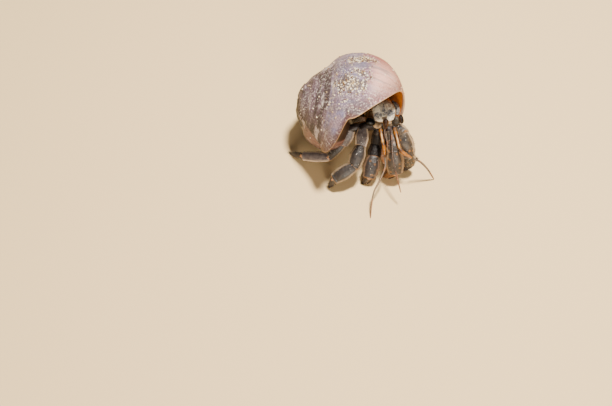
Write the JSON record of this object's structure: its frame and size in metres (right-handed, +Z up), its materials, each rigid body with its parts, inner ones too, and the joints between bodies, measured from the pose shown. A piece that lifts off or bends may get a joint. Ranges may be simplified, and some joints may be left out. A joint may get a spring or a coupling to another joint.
{
  "type": "hermit crab model",
  "caption": "Still life-size model of a land hermit crab standing half out of a round snail shell, with claws, walking legs, stalked eyes and long feelers.",
  "frame": {"origin": "on the floor, under the centre of the bounding box", "axes": "+Z up; the crab faces -Y with its right side at -X; the spire of the shell points to -X"},
  "size_m": [0.0566, 0.0592, 0.0421],
  "materials": {
    "snail_shell": "worn natural shell, satin, mottled pink, violet and grey",
    "carapace": "hard crab shield, cream with blue-grey mottling, satin gloss",
    "leg_plate": "hard crab plates, taupe grey with pale ridges and orange joints",
    "claw_plate": "hard crab plates, brown grey with pale ridges and orange joints",
    "joint_orange": "smooth orange feelers and joint skin",
    "eye": "dark, glossy, faceted eye",
    "soft_body": "soft brown body skin",
    "bristle": "stiff brown bristles",
    "sand_grain": "pale sand grains stuck to the shell"
  },
  "bodies": {
    "root": {"shell": "snail_shell", "shield": "carapace", "side_plate_left": "carapace", "rostrum": "carapace", "eye_right": "eye", "eyestalk_right": "leg_plate", "antenna_base_right": "joint_orange", "feeler_right": "joint_orange", "antennule_right": "joint_orange", "eye_left": "eye", "eyestalk_left": "leg_plate", "antenna_base_left": "joint_orange", "feeler_left": "joint_orange", "antennule_left": "joint_orange", "claw_left_finger": "claw_plate", "claw_left_palm": "claw_plate", "claw_left_carpus": "claw_plate", "claw_left_merus": "claw_plate", "claw_right_finger": "claw_plate", "claw_right_palm": "claw_plate", "claw_right_carpus": "claw_plate", "claw_right_merus": "claw_plate", "leg3_right_dactyl": "leg_plate", "leg3_right_propodus": "leg_plate", "leg3_right_carpus": "leg_plate", "leg3_right_merus": "leg_plate", "leg2_right_dactyl": "leg_plate", "leg2_right_propodus": "leg_plate", "leg2_right_carpus": "leg_plate", "leg2_right_merus": "leg_plate", "leg2_left_dactyl": "leg_plate", "leg2_left_propodus": "leg_plate", "leg2_left_carpus": "leg_plate", "leg2_left_merus": "leg_plate", "leg3_left_dactyl": "leg_plate", "leg3_left_propodus": "leg_plate", "leg3_left_carpus": "leg_plate", "leg3_left_merus": "leg_plate", "maxilliped_right": "leg_plate", "maxilliped_left": "leg_plate", "trunk": "soft_body"}
  },
  "joints": []
}
